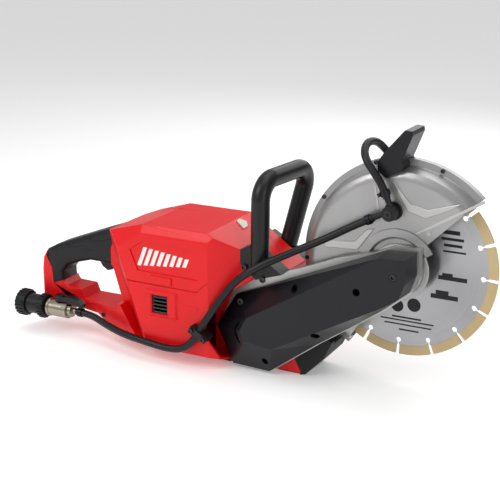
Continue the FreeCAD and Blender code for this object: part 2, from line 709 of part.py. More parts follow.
def barb(end, next_point, length):
    """Hose barb, in line with the hose's first run, back into its fitting."""
    way = (end - next_point).normalize()
    return rod(end + way * length, end, 3.6)


def make_fittings():
    x, z = FITTING
    core = fused([disc(x, z, 11, -27, -24), disc(x, z, 9, -41, -27)])
    barbs = [barb(MAIN_HOSE[-1], MAIN_HOSE[-2], 20), barb(RIM_HOSE[0], RIM_HOSE[1], 16)]
    near = fused([core] + barbs)
    save("water_fitting", near.cut(disc(x, z, 3, -42, -38)))
    x, z = FAR_FITTING
    core = fused([disc(x, z, 11, 20, 23), disc(x, z, 9, 23, 40)])
    save("water_fitting_left", fused([core, barb(RIM_HOSE[-1], RIM_HOSE[-2], 16)]))


def hose_clamp(end, towards, hose):
    """Spring clamp round a hose near one end of it."""
    way = (towards - end).normalize()
    band = rod(end + way * 3, end + way * 10, HOSE_R + 1.6)
    return band.cut(hose)


def make_hoses():
    main = tube(MAIN_HOSE, HOSE_R, "water_hose")
    over = tube(RIM_HOSE, HOSE_R, "rim_hose")
    save("water_hose", main)
    save("rim_hose", over)
    save("valve_hose_clamp", hose_clamp(MAIN_HOSE[0], MAIN_HOSE[1], main))
    clamps = [
        hose_clamp(MAIN_HOSE[-1], MAIN_HOSE[-2], main),
        hose_clamp(RIM_HOSE[0], RIM_HOSE[1], over),
        hose_clamp(RIM_HOSE[-1], RIM_HOSE[-2], over),
    ]
    save("guard_hose_clamps", together(clamps))
    make_hose_clip(main)


def make_hose_clip(hose):
    """Strap over the hose, square to it, held to the body by a screw at each end."""
    clip = block(-CLIP_HALF, CLIP_HALF, -7.5, 12, -4.5, 4.5)
    clip = clip.rotated(V(0, 0, 0), V(0, 1, 0), CLIP_TURN_DEG)
    clip.translate(CLIP_AT)
    save("hose_clip", minus(clip, [hose, red_body()]))
    turn = math.radians(CLIP_TURN_DEG)
    across = V(math.cos(turn), 0, -math.sin(turn))
    top_y = CLIP_AT.y - 7.5
    screws = []
    for side in (-1, 1):
        point = CLIP_AT + across * side * (CLIP_HALF - 3.5)
        screws.append(disc(point.x, point.z, 3.2, top_y - 2, top_y))
    save("hose_clip_screws", together(screws))


# ---- Valve and coupling ------------------------------------------------------------------

def make_valve():
    body = [
        (-487, 0), (-487, 7), (-484, 7), (-484, 11.5), (-452, 11.5), (-452, 8.5),
        (-446, 8.5), (-446, 4.2), (-440, 4.2), (-440, 0),
    ]
    shell = turned_along_x(body, VALVE_Y, VALVE_Z)
    ball_room = Part.makeSphere(8.3, V(-466, VALVE_Y, VALVE_Z))
    stem_room = Part.makeCylinder(3.05, 20, V(-466, VALVE_Y, VALVE_Z))
    bore = rod(V(-490, VALVE_Y, VALVE_Z), V(-470, VALVE_Y, VALVE_Z), 4)
    save("valve_body", minus(shell, [ball_room, stem_room, bore]))
    ball = Part.makeSphere(8, V(-466, VALVE_Y, VALVE_Z))
    ball = ball.cut(rod(V(-480, VALVE_Y, VALVE_Z), V(-450, VALVE_Y, VALVE_Z), 4))
    stem = Part.makeCylinder(3, 12.5, V(-466, VALVE_Y, VALVE_Z + 6.5))
    save("valve_ball", fused([ball, stem]))
    hub = Part.makeCylinder(7, 8, V(-466, VALVE_Y, VALVE_Z + 12)).cut(stem)
    wing = [
        (-466, -99), (-466, -104), (-450, -104), (-436, -107), (-429, -109), (-428, -104),
        (-436, -98), (-450, -96),
    ]
    arm = slab(wing, VALVE_Y - 5, VALVE_Y + 5).cut(stem)
    save("valve_lever", hub.fuse(arm).removeSplitter())
    saddle = block(-478, -456, -56, HANDLE_RIGHT_Y, -124, -106)
    save("valve_bracket", saddle.cut(shell))
    coupler = [
        (-531, 9), (-531, 13), (-516, 13), (-516, 13.5), (-497, 13.5), (-497, 15.5),
        (-488, 15.5), (-487, 12), (-487, 7.2), (-510, 7.2), (-510, 9),
    ]
    save("hose_coupler", turned_along_x(coupler, VALVE_Y, VALVE_Z))
    collar = [(-532, 13.3), (-532, 16.2), (-530, 17), (-518, 17), (-517, 16), (-517, 13.3)]
    save("coupler_collar", turned_along_x(collar, VALVE_Y, VALVE_Z))


# ---- Front handle ------------------------------------------------------------------------

def make_front_handle():
    outside = tube(LOOP_ROUTE, LOOP_TUBE_R, "front_handle", LOOP_CORNER_R)
    inside = tube(LOOP_ROUTE, LOOP_TUBE_R - 2, "front handle bore", LOOP_CORNER_R)
    save("front_handle", outside.cut(inside))
    body = red_body()
    right_side = [(-193, 6), (-180, 12), (-132, -20), (-139, -25), (-160, -38), (-193, -11)]
    arm_room = slab(ARM_SIDE, -80, ARM_Y1)
    right = slab(right_side, -60, -36)
    holes = [disc(x, z, SCREW_HOLE_R, -62, -30) for x, z in HANDLE_SCREWS]
    right = minus(right, [body, arm_room, outside] + holes)
    save("handle_bracket_right", largest(right))
    left_side = [(-200, 4), (-152, -22), (-152, -40), (-170, -40), (-200, -24)]
    left = minus(slab(left_side, 20, 50), [body, outside])
    save("handle_bracket_left", largest(left))
    screws = []
    for x, z in HANDLE_SCREWS:
        shank = disc(x, z, SCREW_R, -60, -44)
        screws.append(shank.fuse(disc(x, z, SCREW_HEAD_R, -62.5, -60)))
    save("handle_screws", together(screws))


def largest(shape):
    """The biggest of the solids that a cut leaves."""
    return sorted(shape.Solids, key=lambda solid: solid.Volume)[-1]


# ---- Battery and electronics -------------------------------------------------------------

def make_battery():
    corners = [
        (-344, 12.4), (-263, 12.4), (-263, 64), (-269, 72), (-338, 72), (-344, 64),
    ]
    pack = plan(corners, -99, 15)
    groove = [(-340.5, 12), (-330.5, 12), (-328.4, 18.5), (-342.6, 18.5)]
    grooves = [plan(groove, -101, 9), plan([(x + RAIL_PITCH, y) for x, y in groove], -101, 9)]
    slot = block(-315, -292, 12, 23, -101, -55)
    buttons = [block(-345, -338, 46, 62, -20, 4), block(-269, -262, 46, 62, -20, 4)]
    save("battery_pack", minus(pack, grooves + [slot] + buttons))
    save("battery_button_rear", block(-344.5, -341.5, 46.4, 61.6, -19.6, 3.6))
    save("battery_button_front", block(-265.5, -262.5, 46.4, 61.6, -19.6, 3.6))
    save("battery_terminal", block(-313, -294, 12, 21, -97, -57))
    save("control_board", block(-335, -246, -66, -58, -34, 8))


os.makedirs("parts", exist_ok=True)
make_shells()
make_grip()
make_shell_screws()
make_vents()
make_feet()
make_trigger()
make_motor()
make_belt_drive()
make_arm()
make_cover()
make_spindle()
make_blade()
make_guard()
make_fittings()
make_hoses()
make_valve()
make_front_handle()
make_battery()

whole = extents[0]
for box in extents[1:]:
    whole.add(box)
print("size", [round(v, 1) for v in (whole.XLength, whole.YLength, whole.ZLength)])
print("centre", [round(v, 2) for v in (whole.Center.x, whole.Center.y)], "base", round(whole.ZMin, 2))
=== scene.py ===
import json
import math

import bpy
from mathutils import Matrix, Vector


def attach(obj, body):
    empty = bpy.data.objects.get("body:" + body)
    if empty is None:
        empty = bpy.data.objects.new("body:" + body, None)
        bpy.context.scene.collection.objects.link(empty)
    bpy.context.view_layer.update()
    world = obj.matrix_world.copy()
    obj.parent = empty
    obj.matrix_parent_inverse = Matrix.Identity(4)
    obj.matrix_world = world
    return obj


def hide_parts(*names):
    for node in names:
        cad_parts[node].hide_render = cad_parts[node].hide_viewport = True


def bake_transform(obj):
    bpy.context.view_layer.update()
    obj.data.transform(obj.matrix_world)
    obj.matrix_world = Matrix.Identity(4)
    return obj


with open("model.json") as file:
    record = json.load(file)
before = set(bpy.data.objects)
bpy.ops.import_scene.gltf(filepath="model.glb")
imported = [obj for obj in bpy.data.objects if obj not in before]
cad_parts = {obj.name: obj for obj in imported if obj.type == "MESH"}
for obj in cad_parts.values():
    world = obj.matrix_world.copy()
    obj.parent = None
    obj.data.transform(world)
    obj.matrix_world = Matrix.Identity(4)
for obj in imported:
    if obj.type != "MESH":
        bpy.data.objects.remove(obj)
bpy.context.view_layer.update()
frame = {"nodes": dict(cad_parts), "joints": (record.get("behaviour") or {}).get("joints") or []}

# ---- Camera, light and floor -----------------------------------------------------------------
# The saw stands on a pale studio floor under large soft lamps. Places on it are given in
# millimetres from the middle of the blade, as X forward, Y to its left and Z up.

SPINDLE = Vector(next(j["pos_m"] for j in frame["joints"] if j["name"] == "blade_spin"))
LAMP_TARGET = Vector((0, 0, 0.12))


def at(x, y, z):
    """A place given in millimetres from the middle of the blade, in the frame's metres."""
    return SPINDLE + Vector((x, y, z)) / 1000


def new_object(name, data):
    """An object with the given data, put in the scene."""
    thing = bpy.data.objects.new(name, data)
    bpy.context.collection.objects.link(thing)
    return thing


def aim(thing, place, target):
    """Puts a camera or lamp at a place and points it at a target."""
    thing.location = place
    thing.rotation_euler = (target - place).to_track_quat("-Z", "Y").to_euler()


def lamp(name, place, size, watts):
    """A soft box that points at the middle of the saw."""
    light = bpy.data.lights.new(name, "AREA")
    light.shape = "RECTANGLE"
    light.size, light.size_y = size
    light.energy = watts
    aim(new_object(name, light), Vector(place), LAMP_TARGET)


bpy.ops.object.select_all(action="DESELECT")
camera = new_object("camera", bpy.data.cameras.new("camera"))
camera.data.lens = 88.5
aim(camera, at(496.2, -1318.6, 447.2), at(-165.5, -83.1, 15.8))
bpy.context.scene.camera = camera

lamp("key_lamp", (-0.75, -1.25, 1.25), (0.9, 0.9), 13)
lamp("top_lamp", (0.15, 0.1, 1.5), (1.6, 1.0), 9)
lamp("side_lamp", (1.35, -0.75, 0.55), (0.5, 1.0), 4)
lamp("back_lamp", (0.1, 1.4, 0.9), (1.4, 0.6), 6)


def add(owner, kind, settings, wires=()):
    """Adds a node to a finish or a world. Each wire joins an output to an input of the node."""
    node = owner.node_tree.nodes.new("ShaderNode" + kind)
    for name, value in settings.items():
        if name in node.inputs:
            node.inputs[name].default_value = value
        else:
            setattr(node, name, value)
    for output, name in wires:
        owner.node_tree.links.new(output, node.inputs[name])
    return node


# The room is brightest overhead and to the left, and dim low on the right, so that metal shows
# light and dark bands. Beyond the floor it is seen as plain white.
BRIGHT_SIDE = (-0.45, -0.25, 0.85)
world = bpy.data.worlds.new("studio")
bpy.context.scene.world = world
world.use_nodes = True
sky = world.node_tree.nodes["Background"]
sky.inputs["Color"].default_value = (1, 1, 1, 1)
facing = add(world, "TexCoord", {})
slope = add(world, "VectorMath", {"operation": "DOT_PRODUCT"}, [(facing.outputs["Generated"], 0)])
slope.inputs[1].default_value = BRIGHT_SIDE
glow = add(world, "MapRange", {"From Min": -0.3, "From Max": 0.9, "To Min": 0.16, "To Max": 0.62},
           [(slope.outputs["Value"], "Value")])
seen = add(world, "LightPath", {})
backdrop = add(world, "Mix", {"B": 1.0}, [(seen.outputs["Is Camera Ray"], "Factor"),
                                          (glow.outputs["Result"], "A")])
world.node_tree.links.new(backdrop.outputs["Result"], sky.inputs["Strength"])
bpy.context.scene.view_settings.view_transform = "Standard"


def linear(colour):
    """An sRGB hex colour as linear red, green, blue and alpha."""
    parts = [int(colour[i:i + 2], 16) / 255 for i in (1, 3, 5)]
    return [p / 12.92 if p <= 0.04045 else ((p + 0.055) / 1.055) ** 2.4 for p in parts] + [1.0]


def set_input(finish, name, value):
    """Sets an input of a finish's shader to a constant."""
    finish.node_tree.nodes["Principled BSDF"].inputs[name].default_value = value


def finish_of(name, colour, roughness):
    """A new finish with one colour and gloss, to which patterns are then added."""
    finish = bpy.data.materials.new(name)
    finish.use_nodes = True
    set_input(finish, "Base Color", linear(colour))
    set_input(finish, "Roughness", roughness)
    return finish


bpy.ops.mesh.primitive_grid_add(x_subdivisions=2, y_subdivisions=2, size=12)
floor = bpy.context.object
floor.name = "studio_floor"
# Matt white floor paint, lit a little from within as on a light table.
floor_paint = finish_of("pale_floor_paint", "#F6F6F6", 0.7)
set_input(floor_paint, "Emission Color", (1, 1, 1, 1))
set_input(floor_paint, "Emission Strength", 0.22)
floor.data.materials.append(floor_paint)

# ---- Water hoses -----------------------------------------------------------------------------
# Black rubber hose, 9.5 mm across, wound with a fine rib. The long one runs from the valve,
# under the body and over the belt arm to the guard, and a short one crosses the guard's rim.

HOSE_R = 0.00475
RIB_PITCH = 0.0026
RIB_DEPTH = 0.00022
HOSE_SIDES = 20
RINGS_PER_RIB = 4


def wire(finish, output, name):
    """Links an output to an input of the finish's shader."""
    shader = finish.node_tree.nodes["Principled BSDF"]
    finish.node_tree.links.new(output, shader.inputs[name])


def moulded(name, colour, roughness, grain_mm, depth_mm, other):
    """A surface with an even fine grain. Its gloss varies a little, as does its colour."""
    finish = finish_of(name, colour, roughness)
    set_input(finish, "Specular IOR Level", 0.3)
    place = add(finish, "TexCoord", {}).outputs["Object"]
    grain = add(finish, "TexNoise", {"Scale": 1000 / grain_mm, "Detail": 2.0}, [(place, "Vector")])
    bump = add(finish, "Bump", {"Strength": 0.6, "Distance": depth_mm / 1000},
               [(grain.outputs["Fac"], "Height")])
    wire(finish, bump.outputs["Normal"], "Normal")
    cloud = add(finish, "TexNoise", {"Scale": 24.0, "Detail": 3.0}, [(place, "Vector")])
    gloss = add(finish, "MapRange", {"To Min": roughness - 0.06, "To Max": roughness + 0.06},
                [(cloud.outputs["Fac"], "Value")])
    wire(finish, gloss.outputs["Result"], "Roughness")
    tint = add(finish, "Mix", {"data_type": "RGBA"}, [(cloud.outputs["Fac"], "Factor")])
    tint.inputs[6].default_value = linear(colour)
    tint.inputs[7].default_value = linear(other)
    wire(finish, tint.outputs[2], "Base Color")
    return finish


def metal(name, colour, roughness, grain_mm, depth_mm, other, metallic=1.0):
    """A metal surface, or a coat with metal in it, with an even grain from how it was made."""
    finish = moulded(name, colour, roughness, grain_mm, depth_mm, other)
    set_input(finish, "Metallic", metallic)
    return finish


# Extruded rubber: near black, with a satin skin that greys slightly where it is handled.
hose_rubber = moulded("extruded_hose_rubber", "#101012", 0.36, 0.7, 0.03, "#19191B")


def line_through(name, points):
    """Points along a hose's smooth line, read from a NURBS spline that its route controls."""
    curve = bpy.data.curves.new(name, "CURVE")
    curve.dimensions = "3D"
    spline = curve.splines.new("NURBS")
    spline.points.add(len(points) - 1)
    for control, point in zip(spline.points, points):
        control.co = (*point, 1)
    spline.order_u = 3
    spline.use_endpoint_u = True
    spline.resolution_u = 24
    holder = new_object(name, curve)
    read = bpy.data.meshes.new_from_object(holder)
    places = [v.co.copy() for v in read.vertices]
    bpy.data.objects.remove(holder)
    bpy.data.meshes.remove(read)
    return places


def evenly(places, step):
    """Points a fixed step apart along a line of closer points."""
    spaced = [places[0].copy()]
    left = step
    for a, b in zip(places, places[1:]):
        run = (b - a).length
        gone = 0.0
        while run - gone > left:
            gone += left
            spaced.append(a.lerp(b, gone / run))
            left = step
        left -= run - gone
    return spaced + [places[-1].copy()]


def hose_along(name, places):
    """A round hose with a wound rib, along closely spaced points."""
    bare = evenly(places, RIB_PITCH / RINGS_PER_RIB)
    rings = []
    side = (bare[1] - bare[0]).orthogonal().normalized()
    for i, middle in enumerate(bare):
        way = (bare[min(i + 1, len(bare) - 1)] - bare[max(i - 1, 0)]).normalized()
        side = (side - way * side.dot(way)).normalized()
        across = way.cross(side)
        for k in range(HOSE_SIDES):
            turn = 2 * math.pi * k / HOSE_SIDES
            wave = math.cos(2 * math.pi * i / RINGS_PER_RIB - turn)
            r = HOSE_R - RIB_DEPTH * (0.5 - 0.5 * wave)
            rings.append(middle + (side * math.cos(turn) + across * math.sin(turn)) * r)
    faces = [list(range(HOSE_SIDES))[::-1]]
    for i in range(len(bare) - 1):
        low = i * HOSE_SIDES
        for k in range(HOSE_SIDES):
            j = (k + 1) % HOSE_SIDES
            faces.append([low + k, low + j, low + HOSE_SIDES + j, low + HOSE_SIDES + k])
    faces.append([(len(bare) - 1) * HOSE_SIDES + k for k in range(HOSE_SIDES)])
    mesh = bpy.data.meshes.new(name)
    mesh.from_pydata(rings, [], faces)
    mesh.shade_smooth()
    mesh.materials.append(hose_rubber)
    return new_object(name, mesh)


main_route = [
    at(-440, -62, -116), at(-417, -62, -116), at(-388, -70, -123), at(-352, -82, -126),
    at(-316, -88, -127), at(-282, -89, -130), at(-259, -89, -127), at(-244, -88.5, -114),
    at(-234, -87, -96), at(-222, -84, -76), at(-207, -80, -53), at(-189, -76, -28),
    at(-160, -72, -7), at(-122, -53, 12), at(-84, -40, 31), at(-52, -36.5, 50),
    at(-28, -36, 62.4),
]
rim_route = [
    at(-11.6, -36, 87.8), at(-18.5, -37, 104), at(-31, -36, 119), at(-43, -31, 132),
    at(-49, -17, 141), at(-50, 0, 144.5), at(-47, 17, 141), at(-41, 30, 129),
    at(-32, 35, 114), at(-23, 36, 100), at(-17.5, 35.5, 88),
]

main_line = line_through("main_route", main_route)
main_hose = hose_along("main_hose", main_line)
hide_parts("water_hose")
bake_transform(main_hose)

rim_line = line_through("rim_route", rim_route)
short_hose = hose_along("short_hose", rim_line)
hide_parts("rim_hose")
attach(short_hose, "guard")

# ---- Red shells ------------------------------------------------------------------------------
# The body is two glossy shells of glass-filled nylon, injection moulded and screwed together
# on the middle plane. The lower bar of the rear loop is moulded on with them.

SHELL_ROUND = 1.5
LOOP_ROUND = 5.0
LOW_BAR_ROUND = 1.5
RECESS_ROUND = 0.5
SHORTEST_ROUNDED = 0.004
LEAST_TURN = math.radians(9)
WELD_WITHIN = 0.00002
# Planes across the saw: the loop's right and left faces and the seam between the two shells.
LOOP_RIGHT = -40
LOOP_LEFT = -3
MIDDLE_SEAM = -21.5
ON_PLANE = 0.4


def work_on(piece):
    """Makes a piece the only one selected, and the active one."""
    bpy.ops.object.select_all(action="DESELECT")
    piece.select_set(True)
    bpy.context.view_layer.objects.active = piece


def copy_of(node, name):
    """A piece with the same faces as one of the frame's parts, so that it can be finished."""
    piece = new_object(name, frame["nodes"][node].data.copy())
    piece.data.materials.clear()
    work_on(piece)
    bpy.ops.mesh.customdata_custom_splitnormals_clear()
    bpy.ops.object.mode_set(mode="EDIT")
    bpy.ops.mesh.select_all(action="SELECT")
    bpy.ops.mesh.remove_doubles(threshold=WELD_WITHIN)
    bpy.ops.mesh.dissolve_limited(angle_limit=math.radians(1))
    bpy.ops.object.mode_set(mode="OBJECT")
    return piece


def shape_with(piece, kind, **settings):
    """Adds a modifier to a piece and applies it."""
    work_on(piece)
    modifier = piece.modifiers.new(kind.lower(), kind)
    for name, value in settings.items():
        setattr(modifier, name, value)
    bpy.ops.object.modifier_apply(modifier=modifier.name)


def smooth(piece, degrees=35):
    """Shades a piece smooth across its shallow edges, and keeps its flats flat."""
    work_on(piece)
    bpy.ops.object.shade_smooth_by_angle(angle=math.radians(degrees))
    shape_with(piece, "WEIGHTED_NORMAL", keep_sharp=True)


def round_edges(piece, width, segments=2, over=30):
    """Rounds all of a piece's edges that turn by more than an angle, in millimetres."""
    shape_with(piece, "BEVEL", width=width / 1000, segments=segments, limit_method="ANGLE",
               angle_limit=math.radians(over), miter_outer="MITER_ARC")
    smooth(piece)


def fit(piece, body, slot, finish, *nodes):
    """Gives a piece its finish and fixes it to its body, in place of the frame's parts."""
    piece.data.materials.clear()
    piece.data.materials.append(finish)
    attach(piece, body)
    if nodes:
        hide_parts(*nodes)


def rounded(node, name, body, slot, finish, width, segments=2, over=30):
    """Finishes one of the frame's parts: a copy with rounded edges takes its place."""
    piece = copy_of(node, name)
    round_edges(piece, width, segments, over)
    fit(piece, body, slot, finish, node)


def round_by(piece, rule, widest, segments):
    """Rounds each edge of a piece by the millimetres that a rule gives for its place."""
    mesh = piece.data
    weights = mesh.attributes.new("bevel_weight_edge", "FLOAT", "EDGE")
    beside = {edge.key: [] for edge in mesh.edges}
    for face in mesh.polygons:
        for key in face.edge_keys:
            beside[key].append(face)
    for edge in mesh.edges:
        faces = beside[edge.key]
        a, b = (mesh.vertices[i].co for i in edge.vertices)
        if len(faces) != 2 or (a - b).length < SHORTEST_ROUNDED:
            continue
        one, other = faces
        convex = (other.center - one.center).dot(one.normal) < 0
        if not convex or one.normal.angle(other.normal, 0) < LEAST_TURN:
            continue
        place = ((a + b) / 2 - SPINDLE) * 1000
        weights.data[edge.index].value = rule(place, one.normal, other.normal) / widest
    shape_with(piece, "BEVEL", width=widest / 1000, segments=segments, limit_method="WEIGHT",
               use_clamp_overlap=False)
    smooth(piece, 30)


def on_loop_side(place, one, other):
    """Whether an edge runs along the flat side of the rear loop."""
    side = min(abs(place.y - LOOP_RIGHT), abs(place.y - LOOP_LEFT)) < ON_PLANE
    return side and place.x < -386 and min(abs(one.y), abs(other.y)) < 0.2


def shell_rule(place, one, other):
    """Rounding of the shells: most on the loop, least in the panel, none on the middle seam."""
    x, y, z = place
    if abs(y - MIDDLE_SEAM) < ON_PLANE:
        return 0.0
    if y < -77.5 and -345 < x < -226 and -93 < z < 6:
        return RECESS_ROUND
    if on_loop_side(place, one, other):
        seam = -505 < x < -480 and -90 < z < -42
        if seam or z > -86 and x > -505:
            return 0.0
        return LOOP_ROUND if x < -505 or z < -112 else LOW_BAR_ROUND
    outward = (one + other).dot(place - Vector((-250, -20, -60))) > 0
    return SHELL_ROUND if outward and x > -388 else 0.0


# Glass-filled nylon from a polished mould: strong warm red, a clear gloss with a faint ripple.
red_nylon = moulded("polished_red_nylon", "#DE0E16", 0.36, 2.2, 0.010, "#D40C13")

for node, name in (("housing_right", "right_shell"), ("housing_left", "left_shell")):
    shell = copy_of(node, name)
    round_by(shell, shell_rule, LOOP_ROUND, 3)
    fit(shell, "chassis", "red_shell", red_nylon, node)

# ---- Marks on the shells ---------------------------------------------------------------------
# A plain white flash is pad printed in the sunk panel. A blank badge sits beside the vent, and a
# small smoked window covers the charge light on the lower bar.

FLASH_BARS = 8


def slab(name, corners, thickness):
    """A flat piece with the given corners, made solid along a vector."""
    bpy.ops.mesh.primitive_circle_add(vertices=len(corners), fill_type="NGON")
    piece = bpy.context.object
    piece.name = name
    for vertex, corner in zip(piece.data.vertices, corners):
        vertex.co = corner
    bpy.ops.object.mode_set(mode="EDIT")
    bpy.ops.mesh.select_all(action="SELECT")
    bpy.ops.mesh.extrude_region_move(TRANSFORM_OT_translate={"value": thickness})
    bpy.ops.mesh.select_all(action="SELECT")
    bpy.ops.mesh.normals_make_consistent(inside=False)
    bpy.ops.object.mode_set(mode="OBJECT")
    return piece


def plate(name, outline, back, front):
    """A flat plate cut to an outline of (x, z) millimetres between two planes across the saw."""
    return slab(name, [at(x, back, z) for x, z in outline], (0, (front - back) / 1000, 0))


def joined(name, pieces):
    """Several meshes made into one piece."""
    work_on(pieces[0])
    for piece in pieces:
        piece.select_set(True)
    if len(pieces) > 1:
        bpy.ops.object.join()
    pieces[0].name = name
    return pieces[0]


def slanted(x, low, width, height):
    """Outline of a slanted bar of the printed flash."""
    return [(x, low), (x + width, low), (x + width + height * 0.4, low + height),
            (x + height * 0.4, low + height)]


# Pad-printing ink: flat white, a little less glossy than the shell.
white_ink = moulded("pad_printed_white_ink", "#EDEBE8", 0.45, 0.8, 0.004, "#E2E0DC")
flash = [slanted(-330 + 9.5 * k, -29 + k, 5.5, 25 - 2 * k) for k in range(FLASH_BARS)]
side_flash = joined("side_flash", [plate("flash", outline, -78.45, -78.6) for outline in flash])
fit(side_flash, "chassis", "red_shell", white_ink)

badge_rim = [(-261, -71), (-240.8, -71), (-241.6, -78.6), (-261, -78.6)]
badge = plate("blank_badge", badge_rim, -79.8, -80.35)
round_edges(badge, 0.3)
fit(badge, "chassis", "red_shell", red_nylon)

# Smoked acrylic over the charge light: dark grey and very smooth.
smoked_lens = moulded("smoked_acrylic_lens", "#2B2D30", 0.12, 3.0, 0.002, "#232528")
window_at = [(-406.4, -115.4), (-400.2, -114.8), (-400.2, -119.8), (-406.4, -120.8)]
charge_window = plate("charge_window", window_at, -49.5, -53.3)
round_edges(charge_window, 0.5)
fit(charge_window, "chassis", "black_plastic", smoked_lens)

# Bright steel spring clip on the front slope, in line with the slope's face.
CLIP_CORNERS = [(-226.9, -5.9, 23.9), (-227.7, 3.8, 24.3), (-220.2, 9, 20.5), (-213.5, 0.3, 17.1),
                (-212.8, -11.7, 16.7)]
CLIP_SUNK = Vector((0.00046, 0, 0.00089))
CLIP_GAUGE = (0.0011, 0, 0.0022)
slope_clip = slab("slope_clip", [at(*corner) - CLIP_SUNK for corner in CLIP_CORNERS], CLIP_GAUGE)
round_edges(slope_clip, 0.5)
# Bright zinc on spring steel: pale grey with a soft crystal pattern.
zinc_plate = metal("zinc_plated_spring_steel", "#A9A59C", 0.33, 1.4, 0.01, "#8F8B83")
fit(slope_clip, "chassis", "screw_steel", zinc_plate)

# ---- Vents, feet and skid --------------------------------------------------------------------
# Louvred plates of black nylon close the two air openings. Under the body are four rubber pads,
# and a rubber skid is fixed to the toe below the blade.

# Moulded black nylon: near black, fine spark grain, dull sheen.
black_nylon = moulded("grained_black_nylon", "#111113", 0.36, 0.6, 0.02, "#19191B")
# Moulded rubber: near black and matt, greyer where it rubs.
foot_rubber = moulded("moulded_foot_rubber", "#141415", 0.60, 0.9, 0.04, "#1D1D1E")

rounded("vent_right", "right_vent", "chassis", "black_plastic", black_nylon, 0.25)


LOUVER_BACK = -77.7
LOUVER_FRONT = -80.4
LOUVER_LEAN = 2.1
LOUVER_HEIGHT = 3.4


def louver(low):
    """One slat of the right vent, whose front face leans back so that rain runs off."""
    high = low + LOUVER_HEIGHT
    slat = plate("slat", [(-306.5, low), (-286, low), (-286, high), (-306.5, high)],
                 LOUVER_BACK, LOUVER_FRONT)
    for corner in slat.data.vertices:
        x, y, z = (corner.co - SPINDLE) * 1000
        if y < -79 and z > low + 1:
            corner.co = at(x, LOUVER_FRONT + LOUVER_LEAN, z)
    round_edges(slat, 0.3)
    return slat


slats = joined("right_louvers", [louver(low) for low in (-87.4, -82.6, -77.8, -73, -68.2)])
fit(slats, "chassis", "black_plastic", black_nylon)

# The raised bezel round the vent slopes in from each side to the opening.
BEZEL_FOOT = [(-316, -56.6), (-270, -57), (-270, -93), (-313.2, -93.2)]
BEZEL_TOP = [(-313.6, -59), (-272.6, -59.4), (-272.6, -90.6), (-311, -90.8)]
BEZEL_BROW = [(-309.6, -62), (-281, -62.2), (-281, -89), (-309.2, -89.2)]
BEZEL_SILL = [(-307.8, -64), (-284.7, -64), (-284.7, -88.3), (-307.8, -88.3)]


def weld(piece):
    """Joins a mesh's coinciding corners and turns its faces outward."""
    work_on(piece)
    bpy.ops.object.mode_set(mode="EDIT")
    bpy.ops.mesh.select_all(action="SELECT")
    bpy.ops.mesh.remove_doubles(threshold=WELD_WITHIN)
    bpy.ops.mesh.normals_make_consistent(inside=False)
    bpy.ops.object.mode_set(mode="OBJECT")


def stepped_frame(name, steps):
    """A four-sided moulding through outlines of (x, z) that each stand at their own depth."""
    corners = [at(x, y, z) for outline, y in steps for x, z in outline]
    faces = [(4 * i + k, 4 * i + (k + 1) % 4, 4 * i + 4 + (k + 1) % 4, 4 * i + 4 + k)
             for i in range(len(steps) - 1) for k in range(4)]
    mesh = bpy.data.meshes.new(name)
    mesh.from_pydata(corners, [], faces)
    piece = new_object(name, mesh)
    weld(piece)
    return piece


bezel = stepped_frame("vent_bezel", [
    (BEZEL_FOOT, -79.7), (BEZEL_TOP, -82.6), (BEZEL_BROW, -82.6), (BEZEL_SILL, -80.2),
    (BEZEL_SILL, -79.7), (BEZEL_FOOT, -79.7)])
round_edges(bezel, 0.35)
fit(bezel, "chassis", "red_shell", red_nylon)
rounded("vent_left", "left_vent", "chassis", "black_plastic", black_nylon, 0.25)
rounded("foot_pads", "rubber_feet", "chassis", "foot_rubber", foot_rubber, 1.2)
rounded("front_skid", "toe_skid", "chassis", "foot_rubber", foot_rubber, 0.8)

# ---- Rear grip -------------------------------------------------------------------------------
# Soft rubber is moulded over the loop's upper bar in two halves, well rounded for the palm. A
# raised welt line runs along each side.

GRIP_WELT = [(-396.9, -14.9), (-425, -21.9), (-432.8, -19.3), (-463.2, -29.9), (-469.4, -35.1),
             (-462, -34.7), (-439.9, -30.3), (-428.6, -36.1)]
GRIP_OUTLINE = [
    (-382.5, 4.8), (-413, -6), (-449, -20), (-486, -34.5), (-502.6, -43.5), (-503.5, -54),
    (-495, -69), (-493, -90), (-478, -84.4), (-478, -72), (-470, -62.5), (-453, -55.5),
    (-432, -49.5), (-397, -49.5), (-397, -28), (-391, -10),
]
GRIP_ROUND = 7.0
GRIP_SEAM_SHARE = 0.08
# Sides of the outline that meet the red shells, where the rubber's edge stays almost sharp.
SEAM_SIDES = (5, 6, 7, 13, 14, 15)


def grip_half(name, middle, side, *rooms):
    """Half of the grip: its outline raised to its side, well rounded except along its seams."""
    half = plate(name, GRIP_OUTLINE, middle, side)
    mesh = half.data
    weights = mesh.attributes.new("bevel_weight_edge", "FLOAT", "EDGE")
    seams = [Vector(at(x, side, z)) for x, z in GRIP_OUTLINE]
    seams = [(a + b) / 2 for i, (a, b) in enumerate(zip(seams, seams[1:] + seams[:1]))
             if i in SEAM_SIDES]
    for edge in mesh.edges:
        a, b = (mesh.vertices[i].co for i in edge.vertices)
        if abs(a.y - b.y) > 0.001 or abs(a.y - at(0, side, 0).y) > 0.0001:
            continue
        seam = any(((a + b) / 2 - place).length < 0.0005 for place in seams)
        weights.data[edge.index].value = GRIP_SEAM_SHARE if seam else 1.0
    shape_with(half, "BEVEL", width=GRIP_ROUND / 1000, segments=5, limit_method="WEIGHT",
               use_clamp_overlap=False)
    for room in rooms:
        shape_with(half, "BOOLEAN", object=room, operation="DIFFERENCE", solver="EXACT")
    smooth(half, 40)
    return half


